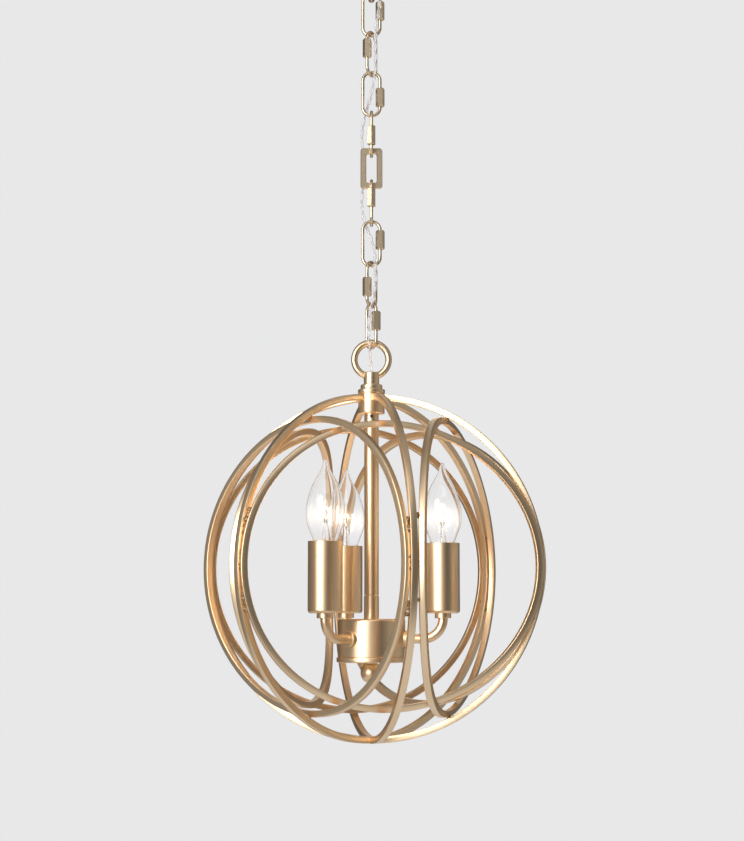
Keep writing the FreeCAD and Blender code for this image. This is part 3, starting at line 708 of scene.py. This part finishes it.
# ---- lamp body --------------------------------------------------------------------------------
def rounded(centre, radius, start, end, steps=6):
    """Points of an arc in a profile, angles in degrees from the outward direction."""
    return [(centre[0] + radius * math.cos(math.radians(start + (end - start) * i / steps)),
             centre[1] + radius * math.sin(math.radians(start + (end - start) * i / steps)))
            for i in range(steps + 1)]


def lathe_piece(name, profile, node, sides=96, matrix=None):
    """A closed turned piece, its profile in millimetres, in place of a node."""
    obj = turned_piece(name, mm(profile + profile[:1]), sides, closed=True)
    smooth(obj, 32)
    moved(obj, matrix or lift(CAGE))
    place(obj, "lamp", "champagne_metal", gold(), node)


class ORB_OT_stem(bpy.types.Operator):
    """Stem tube, its lower sleeve, the turned collar and the washer under the loop"""
    bl_idname = "orb.stem"
    bl_label = "Stem and Collar"
    bl_options = {'REGISTER', 'UNDO'}

    def execute(self, context):
        outer, bore = STEM_RADIUS, STEM_RADIUS - 1.2
        stem = [(bore, STEM_LOW), (outer - 0.35, STEM_LOW), (outer, STEM_LOW + 0.4), (outer, STEM_TOP),
                (bore, STEM_TOP)]
        lathe_piece("stem", stem, "stem_tube", 64)
        outer, end = SLEEVE_RADIUS, STEM_LOW - 0.3
        sleeve = [(ROD_BORE, HUB_TOP), (outer, HUB_TOP), (outer, end - 0.5), (outer - 0.45, end),
                  (ROD_BORE, end)]
        lathe_piece("sleeve_lower", sleeve, "stem_sleeve", 64)
        outer, low, top = COLLAR_RADIUS, COLLAR_LOW, COLLAR_TOP
        groove = top - 4.7
        collar = ([(STEM_RADIUS, low), (outer - 0.6, low)] + rounded((outer - 0.6, low + 0.6), 0.6, -90, 0, 3)
                  + [(outer, groove - 0.4)] + rounded((outer - 0.4, groove - 0.4), 0.4, 0, 90, 3)
                  + [(outer - 0.75, groove), (outer - 0.75, groove + 0.9), (outer - 0.15, groove + 0.9)]
                  + rounded((outer - 0.15, groove + 1.4), 0.5, -90, 0, 3)
                  + rounded((outer - 0.45, top - 0.8), 0.8, 0, 90, 4) + [(STEM_RADIUS, top)])
        lathe_piece("collar", collar, "top_collar")
        washer = ([(WASHER_BORE, COLLAR_TOP), (9.6, COLLAR_TOP)]
                  + rounded((9.6, COLLAR_TOP + 0.6), 0.6, -90, 0, 3)
                  + rounded((9.0, WASHER_TOP - 1.2), 1.2, 0, 90, 5) + [(WASHER_BORE, WASHER_TOP)])
        lathe_piece("washer", washer, "loop_washer")
        return {'FINISHED'}


class ORB_OT_hub(bpy.types.Operator):
    """Hub housing, its cover and the finial"""
    bl_idname = "orb.hub"
    bl_label = "Hub"
    bl_options = {'REGISTER', 'UNDO'}

    def execute(self, context):
        wall, edge = HUB_RADIUS - 1.5, HUB_EDGE
        housing = ([(wall, HUB_TOP - 1.5), (wall, HUB_LOW), (HUB_RADIUS - 0.4, HUB_LOW),
                    (HUB_RADIUS, HUB_LOW + 0.4)]
                   + rounded((HUB_RADIUS - edge, HUB_TOP - edge), edge, 0, 90, 8)
                   + [(ROD_BORE, HUB_TOP), (ROD_BORE, HUB_TOP - 1.5)])
        lathe_piece("hub", housing, "hub_housing", 128)
        outer, low, seat = COVER_RADIUS, COVER_LOW, HUB_LOW - 0.05
        cover = ([(ROD_BORE, low)] + rounded((outer - 1.2, low + 1.2), 1.2, -90, 0, 6)
                 + rounded((outer - 0.5, seat - 0.65), 0.5, 0, 90, 3)
                 + [(outer - 1.1, seat - 0.15), (outer - 1.1, seat), (wall, seat), (wall, seat + 2.05),
                    (wall - 1.5, seat + 2.05), (wall - 1.5, low + 3.3), (ROD_BORE, low + 3.3)])
        lathe_piece("hub_lid", cover, "hub_cover", 128)
        top = COVER_LOW - 0.05
        ball = ([(POINT_RADIUS, FINIAL_HEIGHT - FINIAL_RADIUS + 0.02)]
                + rounded((0, FINIAL_HEIGHT), FINIAL_RADIUS, -84, 52, 26)
                + [(5.6, top - 1.15), (5.5, top), (POINT_RADIUS, top)])
        finial = turned_piece("ball_finial", mm(ball), 64)
        smooth(finial, 40)
        moved(finial, lift(CAGE))
        place(finial, "lamp", "champagne_metal", gold(), "finial")
        return {'FINISHED'}


class ORB_OT_loops(bpy.types.Operator):
    """The two thick rings with their necks, each bored for the cord"""
    bl_idname = "orb.loops"
    bl_label = "Loops"
    bl_options = {'REGISTER', 'UNDO'}

    def execute(self, context):
        start_clean()
        bpy.ops.mesh.primitive_torus_add(major_segments=120, minor_segments=28, major_radius=LOOP_RADIUS * MM,
                                         minor_radius=LOOP_WIRE * MM, rotation=(math.pi / 2, 0, 0))
        ring = settle(context.object, "ring")
        neck = turned_piece("neck", mm([(NECK_RADIUS - 0.2, NECK_LOW)]
                                       + rounded((NECK_RADIUS - 0.3, NECK_LOW + 0.3), 0.3, -70, 0, 3)
                                       + rounded((NECK_RADIUS - 1.0, NECK_TOP - 1.0), 1.0, 0, 90, 6)), 96)
        apply_modifier(ring, 'BOOLEAN', operation='UNION', object=neck, solver='EXACT')
        bore = turned_piece("bore", mm([(CORD_BORE, NECK_LOW - 2.3), (CORD_BORE, NECK_TOP + 7.1)]), 48)
        apply_modifier(ring, 'BOOLEAN', operation='DIFFERENCE', object=bore, solver='EXACT')
        drop(neck)
        drop(bore)
        smooth(ring, 32)
        low = copy_of(ring, "loop_lower", lift(LOW_RING))
        place(low, "lamp", "champagne_metal", gold(), "fixture_loop")
        upside = Matrix.Rotation(math.pi, 4, 'X')
        high = copy_of(ring, "loop_upper", lift(TOP_RING) @ upside @ turn_z(90))
        place(high, "ceiling_fitting", "champagne_metal", gold(), "canopy_loop")
        drop(ring)
        return {'FINISHED'}


class ORB_OT_candles(bpy.types.Operator):
    """Three thin candle sleeves with round lower edges"""
    bl_idname = "orb.candles"
    bl_label = "Candle Sleeves"
    bl_options = {'REGISTER', 'UNDO'}

    def execute(self, context):
        outer, wall, edge, low, top = CANDLE_RADIUS, CANDLE_WALL, CANDLE_EDGE, CANDLE_LOW, CANDLE_TOP
        turn = (outer - edge, low + edge)
        profile = ([(CANDLE_BORE, low)] + rounded(turn, edge, -90, 0, 8)
                   + [(outer, top - 0.25), (outer - 0.2, top), (outer - wall + 0.2, top),
                      (outer - wall, top - 0.25)]
                   + rounded(turn, edge - wall, 0, -90, 6) + [(CANDLE_BORE, low + wall)])
        for number, azimuth in enumerate(CANDLE_TURNS, 1):
            lathe_piece("candle_%d" % number, profile, "candle_sleeve_%d" % number, matrix=at_candle(azimuth))
        return {'FINISHED'}


# ---- bulbs ------------------------------------------------------------------------------------
def spline_points(poles, steps):
    """Points along a clamped cubic spline that its control points pull to them."""
    count = len(poles)
    knots = [0.0] * 4 + [i / (count - 3) for i in range(1, count - 3)] + [1.0] * 4
    last = 1 - 1e-9
    points = []
    for step in range(steps + 1):
        u = min(step / steps, last)
        span = max(i for i in range(3, count) if knots[i] <= u)
        work = [Vector(poles[span - 3 + i]) for i in range(4)]
        for level in range(1, 4):
            for i in range(3, level - 1, -1):
                low, high = knots[span - 3 + i], knots[span + 1 + i - level]
                share = (u - low) / (high - low)
                work[i] = work[i - 1] * (1 - share) + work[i] * share
        points.append((work[3].x, work[3].y))
    return points


def painted_bloom_group():
    """A soft band of painted light round the height of the lit filament, the mask of the glass's own painted
    glow.
    """
    group, gin, gout = node_group("Painted Warm Bloom", [("Height", 'NodeSocketFloat', 0.0),
                                                 ("Spread", 'NodeSocketFloat', 0.01)],
                                  [("Mask", 'NodeSocketFloat')])
    coords = add(group, 'TexCoord')
    parts = add(group, 'SeparateXYZ')
    wire(group, coords.outputs['Object'], parts.inputs[0])
    away, share, square, minus, fall = [
        add(group, 'Math', operation=name)
        for name in ('SUBTRACT', 'DIVIDE', 'MULTIPLY', 'MULTIPLY', 'EXPONENT')]
    wire(group, parts.outputs['Z'], away.inputs[0])
    wire(group, gin.outputs['Height'], away.inputs[1])
    wire(group, away.outputs[0], share.inputs[0])
    wire(group, gin.outputs['Spread'], share.inputs[1])
    wire(group, share.outputs[0], square.inputs[0])
    wire(group, share.outputs[0], square.inputs[1])
    wire(group, square.outputs[0], minus.inputs[0])
    minus.inputs[1].default_value = -1.0
    wire(group, minus.outputs[0], fall.inputs[0])
    wire(group, fall.outputs[0], gout.inputs['Mask'])
    return group


def glass():
    """Clear bulb glass with a painted bloom: the glass itself glows faintly round its belly, where the lit
    filament is.
    """
    if "Bulb glass" in bpy.data.materials:
        return bpy.data.materials["Bulb glass"]
    material, tree, shader = new_material("Bulb glass")
    preset(shader, {'Base Color': (1, 1, 1, 1), 'Roughness': 0.02, 'Transmission Weight': 1.0, 'IOR': 1.45})
    band = add(tree, 'Group', node_tree=painted_bloom_group())
    preset(band, {'Height': PAINTED_BLOOM_HEIGHT, 'Spread': PAINTED_BLOOM_SPREAD})
    # Painted glow: the glass emits a warm band of light of its own, standing in for the filament's bloom.
    tint = add(tree, 'Mix', {'A': (0, 0, 0, 1), 'B': (1.0, 0.88, 0.70, 1)}, data_type='RGBA')
    wire(tree, band.outputs['Mask'], tint.inputs['Factor'])
    wire(tree, tint.outputs['Result'], shader.inputs['Emission Color'])
    shader.inputs['Emission Strength'].default_value = PAINTED_BLOOM_STRENGTH
    return material


def lit_wire():
    """The lit coil's surface, a little uneven in its warmth."""
    material, tree, shader = new_material("Lit filament")
    noise = add(tree, 'TexNoise', {'Scale': 900.0})
    coords = add(tree, 'TexCoord')
    warm = (*bpy.context.scene.orb_colours.glow, 1)
    tint = add(tree, 'Mix', {'A': warm, 'B': (1.0, 0.9, 0.74, 1)}, data_type='RGBA')
    wire(tree, coords.outputs['Object'], noise.inputs['Vector'])
    wire(tree, noise.outputs['Fac'], tint.inputs['Factor'])
    wire(tree, tint.outputs['Result'], shader.inputs['Emission Color'])
    wire(tree, tint.outputs['Result'], shader.inputs['Base Color'])
    shader.inputs['Emission Strength'].default_value = FILAMENT_STRENGTH
    return material


def mount_glass():
    """The clear glass stalk that holds the coil."""
    material, _, shader = new_material("Mount glass")
    preset(shader, {'Base Color': (0.96, 0.97, 0.97, 1), 'Roughness': 0.05, 'Transmission Weight': 1.0})
    return material


def tube_along(name, points, radius, sides=8):
    """A round wire through points, as a mesh."""
    obj = linked(name, curve_mesh('POLY', points, bevel_depth=radius, bevel_resolution=max(1, sides // 4),
                                  use_fill_caps=True))
    outward(obj)
    return obj


class ORB_OT_bulbs(bpy.types.Operator):
    """Clear bulbs with a coiled filament, its mount and leads, and a brass screw base"""
    bl_idname = "orb.bulbs"
    bl_label = "Bulbs"
    bl_options = {'REGISTER', 'UNDO'}

    def execute(self, context):
        envelope = turned_piece("envelope", mm(spline_points(GLASS_POLES, 40)), 72, caps=False)
        apply_modifier(envelope, 'SOLIDIFY', thickness=GLASS_WALL * MM, offset=-1.0, use_rim=True)
        smooth(envelope, 60)
        coil = []
        steps = COIL_TURNS * 14
        for i in range(steps + 1):
            t = i / steps
            along = FILAMENT_HALF * (2 * t - 1)
            rise = FILAMENT_LOW + FILAMENT_RISE * math.sin(math.pi * t)
            angle = 2 * math.pi * COIL_TURNS * t
            coil.append((along * MM, COIL_RADIUS * MM * math.cos(angle),
                         (rise + COIL_RADIUS * math.sin(angle)) * MM))
        filament = tube_along("filament_blank", coil, COIL_WIRE * MM, 6)
        smooth(filament, 80)
        mount = turned_piece("mount_blank", mm(MOUNT_OUTLINE), 32)
        smooth(mount, 50)
        leads = [tube_along("lead", [(side * x, 0, z) for x, z in mm(LEAD_LINE)], LEAD_WIRE * MM)
                 for side in (-1, 1)]
        screw = [(0.4, -9.5), (3.2, -9.5), (SCREW_ROOT, -6.7)]
        for turn in range(5):
            low = -6.4 + 4.0 * turn
            screw += [(SCREW_ROOT, low), (6.75, low + 1.0), (6.8, low + 2.0), (6.75, low + 3.0),
                      (SCREW_ROOT, low + 3.9)]
        screw += [(SCREW_ROOT, 15.0), (6.6, 15.8), (9.8, 15.8), (10.0, 16.1), (10.0, 18.2), (9.8, 18.4),
                  (0.4, 18.4)]
        base = turned_piece("base_blank", mm(screw), 64)
        smooth(base, 50)
        lit, clear = lit_wire(), mount_glass()
        for number, azimuth in enumerate(CANDLE_TURNS, 1):
            body = "bulb_%d" % number
            spot = at_candle(azimuth)
            place(copy_of(envelope, "glass_%d" % number, spot), body, "bulb_glass", glass(),
                  "bulb_glass_%d" % number)
            place(copy_of(filament, "filament_%d" % number, spot), body, "bulb_brass", lit)
            place(copy_of(mount, "mount_%d" % number, spot), body, "bulb_glass", clear)
            pair = joined([copy_of(lead, "lead", spot) for lead in leads], "leads_%d" % number)
            place(pair, body, "bulb_brass", steel())
            place(copy_of(base, "base_%d" % number, spot), body, "bulb_brass", brass(),
                  "bulb_base_%d" % number)
        for blank in [envelope, filament, mount, base] + leads:
            drop(blank)
        return {'FINISHED'}


class ORB_OT_finishes(bpy.types.Operator):
    """Finishes for the nodes that keep their own shape"""
    bl_idname = "orb.finishes"
    bl_label = "Finishes"
    bl_options = {'REGISTER', 'UNDO'}

    def execute(self, context):
        for node in frame["nodes"]:
            if node.startswith(("chain_link", "link_nut", "frame_link")):
                finish_node(node, chain_gold())
            elif node.startswith("bulb_glass"):
                finish_node(node, glass())
            elif node.startswith("bulb_base"):
                finish_node(node, brass())
            elif node in ("crossbar", "threaded_nipple", "nipple_nut", "hub_rod", "hub_nut"):
                finish_node(node, steel())
            elif node == "stem_screw":
                finish_node(node, dark_screw())
            elif node == "lamp_sockets":
                finish_node(node, plastic("Socket plastic", (0.86, 0.84, 0.80), 0.45))
            elif node == "wire_connectors":
                finish_node(node, plastic("Connector plastic", (0.75, 0.25, 0.06), 0.4))
            else:
                finish_node(node, gold())
        return {'FINISHED'}


class ORB_OT_glow(bpy.types.Operator):
    """Warm light of the three filaments on the metal, none of it on the clear glass"""
    bl_idname = "orb.glow"
    bl_label = "Filament Light"
    bl_options = {'REGISTER', 'UNDO'}

    def execute(self, context):
        spared = bpy.data.collections.new("Spared by filament light")
        for number in range(1, len(CANDLE_TURNS) + 1):
            for name in ("glass_%d", "mount_%d", "filament_%d"):
                spared.objects.link(bpy.data.objects[name % number])
        for item in spared.collection_objects:
            item.light_linking.link_state = 'EXCLUDE'
        for number, azimuth in enumerate(CANDLE_TURNS, 1):
            name = "Filament light %d" % number
            lamp = bpy.data.lights.new(name, 'POINT')
            lamp.energy = GLOW_POWER
            lamp.color = GLOW_COLOUR
            lamp.shadow_soft_size = GLOW_SIZE
            lamp.use_shadow = False
            glow = linked(name, lamp)
            glow.location = at_candle(azimuth) @ Vector((0, 0, GLOW_HEIGHT))
            glow.light_linking.receiver_collection = spared
        return {'FINISHED'}


# ---- stage ------------------------------------------------------------------------------------
def any_ray(tree, *kinds):
    """A mask that is 1 for each of the named kinds of ray."""
    rays = add(tree, 'LightPath')
    mask = rays.outputs[kinds[0]]
    for kind in kinds[1:]:
        larger = add(tree, 'Math', operation='MAXIMUM')
        wire(tree, mask, larger.inputs[0])
        wire(tree, rays.outputs[kind], larger.inputs[1])
        mask = larger.outputs[0]
    return mask


def paper():
    """Pale paper: its own colour to the camera, in mirrors and through glass."""
    material, tree, shader = new_material("Backdrop paper")
    pale = (*bpy.context.scene.orb_colours.backdrop, 1)
    preset(shader, {'Base Color': pale, 'Roughness': 0.9})
    glow = add(tree, 'Emission', {'Color': pale})
    mix = add(tree, 'MixShader')
    wire(tree, any_ray(tree, 'Is Camera Ray', 'Is Glossy Ray', 'Is Transmission Ray'), mix.inputs[0])
    wire(tree, shader.outputs[0], mix.inputs[1])
    wire(tree, glow.outputs[0], mix.inputs[2])
    wire(tree, mix.outputs[0], tree.nodes['Material Output'].inputs['Surface'])
    return material


def area_light(name, azimuth, distance, height, width, tall, power):
    """A soft box that looks at the cage; azimuth 0 is the camera's side, 90 the right."""
    data = bpy.data.lights.new(name, 'AREA')
    data.shape = 'RECTANGLE'
    data.size = width
    data.size_y = tall
    data.energy = power
    light = linked(name, data)
    a = math.radians(azimuth)
    light.location = (distance * math.sin(a), -distance * math.cos(a), CAGE + height)
    look = Vector((0, 0, CAGE)) - light.location
    light.rotation_euler = look.to_track_quat('-Z', 'Y').to_euler()


def studio(backdrop):
    """The room round the object, with the pale backdrop for the camera and through glass."""
    world = bpy.data.worlds.new("Studio")
    world.use_nodes = True
    tree = world.node_tree
    tree.nodes.clear()
    pale = add(tree, 'Background', {'Color': (*backdrop, 1)})
    room = add(tree, 'Background')
    coords = add(tree, 'TexCoord')
    spread = add(tree, 'TexGradient', gradient_type='RADIAL')
    ramp = add(tree, 'ValToRGB')
    wire(tree, coords.outputs['Generated'], spread.inputs['Vector'])
    wire(tree, spread.outputs['Fac'], ramp.inputs['Fac'])
    wire(tree, ramp.outputs['Color'], room.inputs['Color'])
    elements = ramp.color_ramp.elements
    for element, (position, value) in zip(elements, (ROOM_STOPS[0], ROOM_STOPS[-1])):
        element.position = position
        element.color = (value, value, value, 1)
    for position, value in ROOM_STOPS[1:-1]:
        elements.new(position).color = (value, value * 0.98, value * 0.95, 1)
    mix = add(tree, 'MixShader')
    out = add(tree, 'OutputWorld')
    wire(tree, any_ray(tree, 'Is Camera Ray', 'Is Transmission Ray'), mix.inputs[0])
    wire(tree, room.outputs[0], mix.inputs[1])
    wire(tree, pale.outputs[0], mix.inputs[2])
    wire(tree, mix.outputs[0], out.inputs['Surface'])
    return world


class ORB_OT_stage(bpy.types.Operator):
    """Floor, backdrop, soft light and the camera"""
    bl_idname = "orb.stage"
    bl_label = "Stage"
    bl_options = {'REGISTER', 'UNDO'}

    def execute(self, context):
        scene = context.scene
        start_clean()
        bpy.ops.mesh.primitive_plane_add(size=FLOOR_SIZE, location=(0, 0, FLOOR_HEIGHT))
        floor = settle(context.object, "floor")
        floor.data.materials.append(paper())
        scene.world = studio(scene.orb_colours.backdrop)
        area_light("Key", azimuth=-38, distance=2.2, height=0.5, width=1.3, tall=1.8, power=52)
        area_light("Top", azimuth=10, distance=1.6, height=1.9, width=1.4, tall=1.0, power=6)
        scene.view_settings.view_transform = 'Standard'
        data = bpy.data.cameras.new("Camera")
        data.sensor_fit = 'HORIZONTAL'
        data.sensor_width = SENSOR
        data.lens = SENSOR * FOCAL_PIXELS / PICTURE_WIDTH
        camera = linked("Camera", data)
        camera.location = CAMERA_PLACE
        camera.rotation_euler = (math.radians(90 + CAMERA_TILT), 0, 0)
        scene.camera = camera
        return {'FINISHED'}


class ORB_PT_panel(bpy.types.Panel):
    """Panel that lists the pieces of the chandelier"""
    bl_idname = "ORB_PT_panel"
    bl_label = "Orb Chandelier"
    bl_space_type = 'VIEW_3D'
    bl_region_type = 'UI'
    bl_category = "Orb Chandelier"

    def draw(self, context):
        layout = self.layout
        for group in (context.scene.orb_sizes, context.scene.orb_colours):
            for key in group.__annotations__:
                layout.prop(group, key)
        for operator in OPERATORS:
            layout.operator(operator.bl_idname)


OPERATORS = (ORB_OT_stage, ORB_OT_finishes, ORB_OT_cord, ORB_OT_great_hoops, ORB_OT_small_hoops, ORB_OT_welds,
             ORB_OT_loops, ORB_OT_stem, ORB_OT_hub, ORB_OT_candles, ORB_OT_bulbs, ORB_OT_glow)
CLASSES = (ORB_PG_sizes, ORB_PG_colours) + OPERATORS + (ORB_PT_panel,)


def register():
    for cls in CLASSES:
        bpy.utils.register_class(cls)
    bpy.types.Scene.orb_sizes = PointerProperty(type=ORB_PG_sizes)
    bpy.types.Scene.orb_colours = PointerProperty(type=ORB_PG_colours)


def unregister():
    del bpy.types.Scene.orb_colours
    del bpy.types.Scene.orb_sizes
    for cls in reversed(CLASSES):
        bpy.utils.unregister_class(cls)


def main():
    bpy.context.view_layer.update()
    register()
    bpy.ops.orb.stage()
    bpy.ops.orb.finishes()
    bpy.ops.orb.cord()
    bpy.ops.orb.great_hoops()
    bpy.ops.orb.small_hoops()
    bpy.ops.orb.welds()
    bpy.ops.orb.loops()
    bpy.ops.orb.stem()
    bpy.ops.orb.hub()
    bpy.ops.orb.candles()
    bpy.ops.orb.bulbs()
    bpy.ops.orb.glow()


if __name__ == "__main__":
    main()
